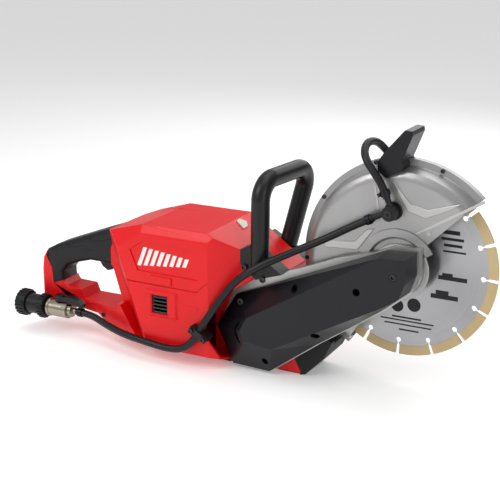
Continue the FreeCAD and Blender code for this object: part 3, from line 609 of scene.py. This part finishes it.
ROOM_RIGHT = -33
ROOM_LEFT = -10
trigger_room = plate("trigger_room", [(-430, -20), (-388, -20), (-388, -70), (-430, -70)],
                     ROOM_RIGHT, ROOM_LEFT)
switch_room = plate("switch_room", [(-446, -20), (-395, -20), (-395, -36), (-446, -36)],
                    ROOM_RIGHT, ROOM_LEFT)


def disc_plate(name, x, z, radius, back, front, sides=32):
    """A round plate on a line across the saw."""
    turns = [2 * math.pi * k / sides for k in range(sides)]
    outline = [(x + radius * math.cos(t), z + radius * math.sin(t)) for t in turns]
    return plate(name, outline, back, front)


button_room = disc_plate("button_room", -405, -30, 6.3, -12.5, -2)

# Thermoplastic rubber overmoulded on the nylon: black, matt, with a fine even grain.
grip_rubber = moulded("overmoulded_grip_rubber", "#0D0D10", 0.42, 0.7, 0.03, "#131317")

right_grip = grip_half("right_grip", MIDDLE_SEAM, LOOP_RIGHT, trigger_room, switch_room)
fit(right_grip, "chassis", "grip_rubber", grip_rubber, "grip_right")
left_grip = grip_half("left_grip", MIDDLE_SEAM, LOOP_LEFT, trigger_room, switch_room, button_room)
fit(left_grip, "chassis", "grip_rubber", grip_rubber, "grip_left")
for room in (trigger_room, switch_room, button_room):
    bpy.data.objects.remove(room)


def bead(name, points, y, radius):
    """A thin raised bead along (x, z) points on one plane, half sunk in it."""
    curve = bpy.data.curves.new(name, "CURVE")
    curve.dimensions = "3D"
    curve.bevel_depth = radius / 1000
    curve.bevel_resolution = 2
    curve.use_fill_caps = True
    spline = curve.splines.new("POLY")
    spline.points.add(len(points) - 1)
    for control, (x, z) in zip(spline.points, points):
        control.co = (*at(x, y, z), 1)
    work_on(new_object(name, curve))
    bpy.ops.object.convert(target="MESH")
    return bpy.context.object


for name, y in (("right_grip_welt", -39.9), ("left_grip_welt", -3.1)):
    fit(bead(name, GRIP_WELT, y, 0.7), "chassis", "grip_rubber", grip_rubber)

# ---- Trigger and lock-off --------------------------------------------------------------------
# A black lever on a steel pin works the switch. A red button on the left has to be pressed
# before the lever moves.

# Black-oxide steel: dark, with a soft metal sheen and brown-grey rubbed places.
black_oxide = metal("black_oxide_steel", "#3A3A3D", 0.38, 0.8, 0.01, "#4A4845")
# Dyed acetal: bright red, smooth from the mould.
red_acetal = moulded("smooth_red_acetal", "#C81E22", 0.30, 1.2, 0.006, "#B81A1E")

rounded("trigger", "trigger_lever", "trigger", "black_plastic", black_nylon, 1.6, 3)
rounded("trigger_pin", "trigger_cross_pin", "chassis", "screw_steel", black_oxide, 0.4)
rounded("trigger_switch", "switch_block", "chassis", "black_plastic", black_nylon, 0.6)
rounded("lock_off_button", "lock_button", "lock_off", "red_button", red_acetal, 0.5)

# ---- Motor, pulleys and belt -----------------------------------------------------------------
# Inside the shells a brushless motor drives a ribbed belt. The rotor, its fan and the small
# pulley turn together on ground bearings, and a loop of belt joins the two pulleys.

# Ground bearing steel: light grey, fine grinding, quite glossy.
bearing_steel = metal("ground_bearing_steel", "#B9BBBF", 0.28, 0.5, 0.006, "#AEB0B4")
# Stacked electrical steel: grey with fine edges of the sheets.
sheet_steel = metal("stacked_sheet_steel", "#8C8A88", 0.45, 0.5, 0.02, "#7F7C79")
# Bead-blasted aluminium casting: light, matt metal with a fine pitted grain.
cast_aluminium = metal("bead_blasted_aluminium", "#BDBDBB", 0.42, 0.7, 0.02, "#B2B2B0")
# Belt rubber: matt black, with cloth dust in its grain.
belt_rubber = moulded("ribbed_belt_rubber", "#17171A", 0.65, 0.8, 0.05, "#222226")
# Potting resin on the control board: dark green, smooth and wavy.
board_resin = moulded("potting_resin", "#2C4A33", 0.30, 4.0, 0.03, "#27422E")

INSIDE = [
    ("motor_stator", "chassis", "stator_steel", sheet_steel),
    ("motor_end_plate", "chassis", "cast_aluminium", cast_aluminium),
    ("motor_bearings", "chassis", "bearing_steel", bearing_steel),
    ("spindle_bearings", "chassis", "bearing_steel", bearing_steel),
    ("battery_terminal", "chassis", "black_plastic", black_nylon),
    ("control_board", "chassis", "board_resin", board_resin),
    ("drive_belt", "chassis", "belt_rubber", belt_rubber),
    ("motor_shaft", "rotor", "bearing_steel", bearing_steel),
    ("rotor_core", "rotor", "stator_steel", sheet_steel),
    ("cooling_fan", "rotor", "black_plastic", black_nylon),
    ("drive_pulley", "rotor", "bearing_steel", bearing_steel),
    ("spindle_shaft", "blade_spindle", "bearing_steel", bearing_steel),
    ("driven_pulley", "blade_spindle", "cast_aluminium", cast_aluminium),
]
for node, body, slot, finish in INSIDE:
    rounded(node, "finished_" + node, body, slot, finish, 0.3)

# ---- Belt arm and cover ----------------------------------------------------------------------
# A die-cast aluminium arm carries the blade out in front. A long faceted cover of black nylon
# hides the belt, held by socket screws at the bottom of deep holes.

rounded("arm_casting", "cast_arm", "chassis", "cast_aluminium", cast_aluminium, 1.2)

# Glass-filled nylon: charcoal, with a fine grain that scatters light to a soft grey.
charcoal_nylon = moulded("grained_charcoal_nylon", "#0F0F13", 0.36, 0.7, 0.02, "#15151A")
rounded("belt_cover", "faceted_belt_cover", "chassis", "cover_plastic", charcoal_nylon, 1.0, 3, 12)

SCREW_HEAD = 4.0
SOCKET_INSET = 0.42
SOCKET_DEPTH = 0.6


def socket_screw(name, place, radius, height, way=(0, -1, 0)):
    """The head of a socket screw, with its hexagon sunk in and its rim rounded."""
    bpy.ops.mesh.primitive_cylinder_add(vertices=32, radius=radius / 1000, depth=height / 1000)
    head = bpy.context.object
    head.name = name
    bpy.ops.object.mode_set(mode="EDIT")
    bpy.ops.mesh.select_all(action="DESELECT")
    bpy.ops.object.mode_set(mode="OBJECT")
    for face in head.data.polygons:
        face.select = face.normal.z > 0.9
    bpy.ops.object.mode_set(mode="EDIT")
    bpy.ops.mesh.inset(thickness=radius * SOCKET_INSET / 1000)
    bpy.ops.mesh.extrude_region_move(
        TRANSFORM_OT_translate={"value": (0, 0, -height * SOCKET_DEPTH / 1000)})
    bpy.ops.object.mode_set(mode="OBJECT")
    round_edges(head, min(0.35, height * 0.2), 2, 50)
    turn = Vector((0, 0, 1)).rotation_difference(Vector(way)).to_matrix().to_4x4()
    head.data.transform(Matrix.Translation(place) @ turn)
    return head


def screws_at(name, places, radius, height, way=(0, -1, 0)):
    """Several screw heads made into one piece, each centred on its place."""
    return joined(name, [socket_screw("head", place, radius, height, way) for place in places])


COVER_SCREWS = [(-194, -62.5), (-114.5, -30.5), (-31.1, -18.8), (-85, -84), (-155.5, -132.5)]
cover_heads = screws_at("cover_screw_heads", [at(x, -54, z) for x, z in COVER_SCREWS]
                        + [at(13.2, -72.2, 6)], SCREW_HEAD, 3.8)
fit(cover_heads, "chassis", "screw_steel", black_oxide, "belt_cover_screws")
SHELL_SCREWS = [(-504, -104), (-430, -111), (-360, -128), (-372, -4), (-244, 14), (-150, -140)]
shell_heads = screws_at("shell_screw_heads", [at(x, -7.5 if x < -355 else 7.5, z)
                                              for x, z in SHELL_SCREWS], SCREW_HEAD, 3.0, (0, 1, 0))
fit(shell_heads, "chassis", "screw_steel", black_oxide, "housing_screws")

# ---- Blade -----------------------------------------------------------------------------------
# A ground steel disc with sixteen keyhole slots carries bronze-bonded diamond segments. Plain
# bars and discs are screen printed on its near side.

BLADE_MIDDLE = tuple(-SPINDLE)


def turned_grain(finish, pitch_mm, depth_mm, low, high):
    """Lines left by a tool that goes round the spindle: they change with the radius alone."""
    place = add(finish, "TexCoord", {}).outputs["Object"]
    centred = add(finish, "Mapping", {"Location": BLADE_MIDDLE}, [(place, "Vector")])
    flat = add(finish, "Mapping", {"Scale": (1, 0, 1)}, [(centred.outputs["Vector"], "Vector")])
    radius = add(finish, "VectorMath", {"operation": "LENGTH"},
                 [(flat.outputs["Vector"], "Vector")])
    lines = add(finish, "TexNoise", {"noise_dimensions": "1D", "Scale": 1000 / pitch_mm,
                                     "Detail": 4.0}, [(radius.outputs["Value"], "W")])
    bump = add(finish, "Bump", {"Strength": 0.7, "Distance": depth_mm / 1000},
               [(lines.outputs["Fac"], "Height")])
    wire(finish, bump.outputs["Normal"], "Normal")
    gloss = add(finish, "MapRange", {"To Min": low, "To Max": high},
                [(lines.outputs["Fac"], "Value")])
    wire(finish, gloss.outputs["Result"], "Roughness")


# Ground tool steel: bright grey. Circular grinding spreads each highlight into a fan of light.
ground_steel = metal("ground_blade_steel", "#ADADAF", 0.30, 1.0, 0.01, "#9C9C9E")
turned_grain(ground_steel, 1.6, 0.01, 0.22, 0.42)
set_input(ground_steel, "Anisotropic", 0.85)
way_round = add(ground_steel, "Tangent", {"direction_type": "RADIAL", "axis": "Y"})
wire(ground_steel, way_round.outputs["Tangent"], "Tangent")

blade = copy_of("blade_core", "ground_blade")
smooth(blade, 20)
fit(blade, "blade_spindle", "blade_steel", ground_steel, "blade_core")

# Sintered bronze with diamond grit: dull tan, speckled darker and lighter, rough.
sintered_bronze = metal("sintered_diamond_bronze", "#C9B48C", 0.6, 1.3, 0.3, "#B59E74", 0.35)
rounded("blade_segments", "diamond_rim", "blade_spindle", "diamond_segment", sintered_bronze, 0.3)


def bar(x0, x1, z, height):
    """Outline of a level bar of the blade's print, centred on a height."""
    return [(x0, z - height / 2), (x1, z - height / 2), (x1, z + height / 2), (x0, z + height / 2)]


# Screen-printing ink: dull black on the ground steel.
black_ink = moulded("screen_printed_black_ink", "#161618", 0.5, 0.8, 0.004, "#1D1D1F")
PRINT_BACK = -1.05
PRINT_FRONT = -1.2
PRINTED_BARS = [
    (42.8, 66.4, 46.7, 5.0), (43.8, 71.4, 38.6, 3.4), (47.5, 69.9, 31, 3.4),
    (46.6, 74.8, 23.5, 2.2),
    (42.3, 77.8, -9.4, 5.2), (47, 60, -5.2, 3.4), (34, 67.8, -33.5, 5.6), (40, 56, -28.2, 5),
    (-13.9, 23.5, -67.4, 2.2), (-28.6, 39.4, -71.5, 1.8), (-23.4, 36.9, -76.7, 1.8),
    (-4.2, 20.8, -83.2, 2.0),
]
PRINTED_DOTS = [(-7.5, -53.5, 7.8), (13.6, -49.7, 8.5)]
marks = [plate("bar", bar(*sizes), PRINT_BACK, PRINT_FRONT) for sizes in PRINTED_BARS]
marks += [disc_plate("dot", *sizes, PRINT_BACK, PRINT_FRONT) for sizes in PRINTED_DOTS]
blade_print = joined("blade_print", marks)
fit(blade_print, "blade_spindle", "blade_steel", black_ink)

# ---- Flanges and blade bolt ------------------------------------------------------------------
# Two turned steel flanges clamp the blade on its arbor, pulled together by one hexagon bolt.

# Turned steel: light grey with fine rings from the lathe.
turned_steel = metal("turned_flange_steel", "#A9ABAF", 0.32, 0.6, 0.008, "#9C9EA2")
turned_grain(turned_steel, 0.8, 0.015, 0.26, 0.42)
for node, name in (("inner_flange", "back_flange"), ("outer_flange", "clamp_flange")):
    rounded(node, name, "blade_spindle", "bearing_steel", turned_steel, 0.5)
rounded("arbor_bolt", "blade_bolt", "blade_spindle", "screw_steel", black_oxide, 0.6)

# ---- Guard -----------------------------------------------------------------------------------
# Two cast aluminium halves, screwed together round their rim and painted satin silver, turn on
# the arm's boss. Raised ribs stiffen the near side.

# Satin silver paint on the casting: even grey with a fine orange peel and metallic flake.
silver_paint = metal("satin_silver_paint", "#A9A8A8", 0.36, 0.9, 0.012, "#A09F9F", 0.75)

rounded("guard_near_half", "near_guard", "guard", "guard_metal", silver_paint, 0.6, 2, 24)
rounded("guard_far_half", "far_guard", "guard", "guard_metal", silver_paint, 0.6, 2, 24)
rounded("guard_hub_ring", "hub_ring", "guard", "guard_metal", silver_paint, 0.5, 2, 24)

FRONT_RIB = [(-10.6, 108.3), (13, 81.4), (34.3, 76.9), (75.1, 89.3), (59.9, 79.6), (31.7, 66.2),
             (9.6, 72.5), (-5.2, 97.4)]
REAR_RIB = [(-94.3, 14.4), (-51.6, 16.7), (-30.2, 46.2), (-40.5, 43.5), (-55.8, 26.9),
            (-94.5, 22.1)]
RIDGE = [(19.6, 46.9), (21.8, 44.5), (101.2, 92.6), (100, 96)]
CREASE = [(-33.2, 96.7), (-30.4, 96.9), (-25.2, 69.2), (-27.8, 69.0)]
GUARD_FACE = -24
RIB_ROOT = -23.6


def rib(name, outline, height, soft):
    """A rib cast on the guard's near face, with rounded shoulders."""
    raised = plate(name, outline, RIB_ROOT, GUARD_FACE - height)
    round_edges(raised, soft, 3, 40)
    return raised


RIBS = ((FRONT_RIB, 1.3, 1.2), (REAR_RIB, 1.2, 1.1), (RIDGE, 0.7, 0.6), (CREASE, 0.5, 0.4))
ribs = [rib("rib", *sizes) for sizes in RIBS]
rivets = [disc_plate("rivet", x, z, 2.6, RIB_ROOT, GUARD_FACE - 0.9, 20)
          for x, z in ((36.8, 48.6), (-30.3, 28))]
for rivet in rivets:
    round_edges(rivet, 0.6)
guard_ribs = joined("guard_ribs", ribs + rivets)
# Lighter silver on the raised ribs and rivets: a painted highlight, standing for the light that the
# high parts of the casting catch.
painted_highlight_silver = metal("painted_highlight_silver_paint", "#BDBCBA", 0.33, 0.9, 0.012, "#B2B1B0", 0.75)
fit(guard_ribs, "guard", "guard_metal", painted_highlight_silver)


def round_the_spindle(radius, degrees):
    """(x, z) at a radius and an angle about the spindle, forward being nought and up ninety."""
    turn = math.radians(degrees)
    return radius * math.cos(turn), radius * math.sin(turn)


RIM_SCREWS = (70, 108, 146, 184, 222)
rim_places = [round_the_spindle(127, degrees) for degrees in RIM_SCREWS]
rim_heads = screws_at("guard_rim_screws", [at(x, -5.6, z) for x, z in rim_places], 2.7, 2.0)
fit(rim_heads, "guard", "screw_steel", black_oxide, "guard_screws")

# ---- Guard lever -----------------------------------------------------------------------------
# A thick black fin bolted over the rim, by which the guard is swung. Its faces are flat, with
# broad chamfers where the thumb pushes.

rounded("guard_lever", "guard_fin", "guard", "lever_plastic", charcoal_nylon, 1.6, 3, 25)

# ---- Water fittings and clamps ---------------------------------------------------------------
# The hose ends on a black swivel fitting, bolted through the guard with a socket screw, and
# a second one feeds the far side. Spring clamps with two ears hold each hose on its barb.

rounded("water_fitting", "near_fitting", "guard", "black_plastic", black_nylon, 0.8, 3)
rounded("water_fitting_left", "far_fitting", "guard", "black_plastic", black_nylon, 0.8, 3)
swivel_ring = disc_plate("swivel_ring", -7.5, 70.3, 7.2, -40.5, -41.6, 40)
round_edges(swivel_ring, 0.5)
swivel_screw = socket_screw("swivel_screw", at(-7.5, -41.4, 70.3), 4.4, 2.6)
fit(swivel_ring, "guard", "black_plastic", black_nylon)
fit(swivel_screw, "guard", "screw_steel", black_oxide)

# Spring steel blued black: dark, semi-gloss.
blued_steel = metal("blued_spring_steel", "#2B2B2F", 0.34, 0.6, 0.008, "#333338")


BAND_R = 0.0062
BAND_WIDTH = 0.0066
BAND_GAUGE = 0.0009
EAR_R = 0.0011
EAR_LENGTH = 0.004
EAR_SPLAY = 0.5


def hose_clamp(name, end, towards, turn):
    """A spring clamp: a flat band round the hose with two ears that pliers squeeze."""
    way = (towards - end).normalized()
    bpy.ops.mesh.primitive_cylinder_add(vertices=40, radius=BAND_R, depth=BAND_WIDTH,
                                        end_fill_type="NOTHING")
    band = bpy.context.object
    band.name = name
    shape_with(band, "SOLIDIFY", thickness=BAND_GAUGE, offset=-1)
    round_edges(band, 0.25)
    ears = []
    for side in (-1, 1):
        bpy.ops.mesh.primitive_cylinder_add(vertices=12, radius=EAR_R, depth=EAR_LENGTH)
        ear = bpy.context.object
        ear.data.transform(Matrix.Translation((0.0074, side * 0.0021, side * 0.0014))
                           @ Matrix.Rotation(math.pi / 2, 4, "Y")
                           @ Matrix.Rotation(side * EAR_SPLAY, 4, "X"))
        round_edges(ear, 0.4)
        ears.append(ear)
    clamp = joined(name, [band] + ears)
    tilt = Vector((0, 0, 1)).rotation_difference(way).to_matrix().to_4x4()
    clamp.data.transform(Matrix.Translation(end + way * 0.0065) @ tilt
                         @ Matrix.Rotation(math.radians(turn), 4, "Z"))
    return clamp


guard_clamps = joined("guard_clamps", [
    hose_clamp("clamp", main_route[-1], main_route[-2], 250),
    hose_clamp("clamp", rim_route[0], rim_route[1], 200),
    hose_clamp("clamp", rim_route[-1], rim_route[-2], 90),
])
fit(guard_clamps, "guard", "clamp_steel", blued_steel, "guard_hose_clamps")
valve_clamp = hose_clamp("valve_clamp", main_route[0], main_route[1], 60)
fit(valve_clamp, "chassis", "clamp_steel", blued_steel, "valve_hose_clamp")

# ---- Hose strap ------------------------------------------------------------------------------
# A moulded saddle screwed to the front of the body holds the hose where it turns up.

rounded("hose_clip", "hose_strap", "chassis", "black_plastic", black_nylon, 0.8, 3)
STRAP_TILT = math.radians(27.9)
across = Vector((math.cos(STRAP_TILT), 0, -math.sin(STRAP_TILT))) * 0.0095
strap_heads = screws_at("strap_screws", [at(-235, -94.6, -102) + across * side for side in (-1, 1)],
                        3.2, 2.0)
fit(strap_heads, "chassis", "screw_steel", black_oxide, "hose_clip_screws")

# ---- Water valve and coupler -----------------------------------------------------------------
# A nickel-plated ball valve with a quarter-turn lever stands on a black saddle. Behind it is a
# quick coupler of black plastic, whose ribbed collar is pulled back to let the plug go.

# Nickel plate on brass: warm grey, smooth, slightly uneven from handling.
nickel_plate = metal("nickel_plated_brass", "#A79F92", 0.27, 1.6, 0.006, "#958C7E")
VALVE_Y = -62
VALVE_Z = -116
VALVE_LINE = at(0, VALVE_Y, VALVE_Z)


def turned_along_hose(name, profile, sides=48):
    """A round part on the valve's line, spun from (x, radius) points in millimetres."""
    mesh = bpy.data.meshes.new(name)
    mesh.from_pydata([at(x, VALVE_Y, VALVE_Z + r) for x, r in profile],
                     [(i, i + 1) for i in range(len(profile) - 1)], [])
    part = new_object(name, mesh)
    work_on(part)
    bpy.ops.object.mode_set(mode="EDIT")
    bpy.ops.mesh.select_all(action="SELECT")
    bpy.ops.mesh.spin(steps=sides, angle=2 * math.pi, center=VALVE_LINE, axis=(1, 0, 0))
    bpy.ops.object.mode_set(mode="OBJECT")
    weld(part)
    return part


valve = copy_of("valve_body", "nickel_valve")
round_edges(valve, 0.6, 2)
valve_rings = turned_along_hose("valve_rings", [
    (-484, 11), (-484, 12), (-483.2, 12.5), (-480.8, 12.5), (-480, 12), (-480, 11), (-484, 11)])
smooth(valve_rings, 30)
hexagon = turned_along_hose("hexagon", [
    (-459, 9), (-459, 12.2), (-452.5, 12.2), (-452.5, 9), (-459, 9)], 6)
round_edges(hexagon, 0.4)
valve_whole = joined("nickel_valve", [valve, valve_rings, hexagon])
fit(valve_whole, "chassis", "nickel_brass", nickel_plate, "valve_body")
ball = copy_of("valve_ball", "valve_ball_and_stem")
smooth(ball)
fit(ball, "valve_handle", "nickel_brass", nickel_plate, "valve_ball")
rounded("valve_lever", "quarter_turn_lever", "valve_handle", "black_plastic", black_nylon, 1.4, 3)
rounded("valve_bracket", "valve_saddle", "chassis", "black_plastic", black_nylon, 0.8)


def ribbed(name, node, start, end, low, high, pitch_deg):
    """A copy of a round part with ribs round it for the fingers."""
    part = copy_of(node, name)
    round_edges(part, 0.6, 2)
    parts = [part]
    for k in range(int(360 / pitch_deg)):
        outline = [(start, low), (start + 0.8, high), (end - 0.8, high), (end, low)]
        bump = plate("bump", outline, -1.1, 1.1)
        round_edges(bump, 0.4, 2, 50)
        bump.data.transform(Matrix.Translation(VALVE_LINE)
                            @ Matrix.Rotation(math.radians(k * pitch_deg), 4, "X")
                            @ Matrix.Translation(-at(0, 0, 0)))
        parts.append(bump)
    return joined(name, parts)


coupler = ribbed("hose_coupler_body", "hose_coupler", -497, -488.5, 14, 17.0, 18)
fit(coupler, "chassis", "black_plastic", black_nylon, "hose_coupler")
collar = ribbed("pull_collar", "coupler_collar", -531.5, -518.5, 15, 18.4, 18)
fit(collar, "collar", "black_plastic", black_nylon, "coupler_collar")

# ---- Front handle ----------------------------------------------------------------------------
# A bent steel tube, powder coated black, is gripped by two moulded feet. Each foot is screwed to
# the body, the right one with two socket screws that show.

# Powder coat: black, low sheen, with a fine pebbled skin.
powder_coat = moulded("black_powder_coat", "#121214", 0.34, 1.1, 0.02, "#19191B")
tube = copy_of("front_handle", "loop_tube")
smooth(tube, 30)
fit(tube, "chassis", "handle_tube", powder_coat, "front_handle")
rounded("handle_bracket_right", "right_handle_foot", "chassis", "black_plastic",
        black_nylon, 1.0, 2)
rounded("handle_bracket_left", "left_handle_foot", "chassis", "black_plastic", black_nylon, 1.2, 2)
foot_heads = screws_at("handle_screw_heads", [at(-185.5, -61.4, -15), at(-160, -61.4, -27.5)],
                       SCREW_HEAD, 2.6)
fit(foot_heads, "chassis", "screw_steel", black_oxide, "handle_screws")

# ---- Battery ---------------------------------------------------------------------------------
# The battery slides down on two rails on the left side. Its case is black nylon with a red latch
# button at each end, and a red lid closes the top of its bay level with the body.

LID_OUTLINE = [(-348.4, 15.3), (-348.4, 16.8), (-322, 24.8), (-258.6, 24.8), (-258.6, 15.3)]
lid = plate("battery_lid", LID_OUTLINE, 12.6, 42)
round_edges(lid, 0.8, 2)
fit(lid, "battery", "battery_case", red_nylon)
rounded("battery_pack", "battery_case", "battery", "battery_case", black_nylon, 2.0, 3)
for node, body, name in (("battery_button_rear", "button_rear", "rear_latch_button"),
                         ("battery_button_front", "button_front", "front_latch_button")):
    rounded(node, name, body, "red_button", red_acetal, 0.7, 3)
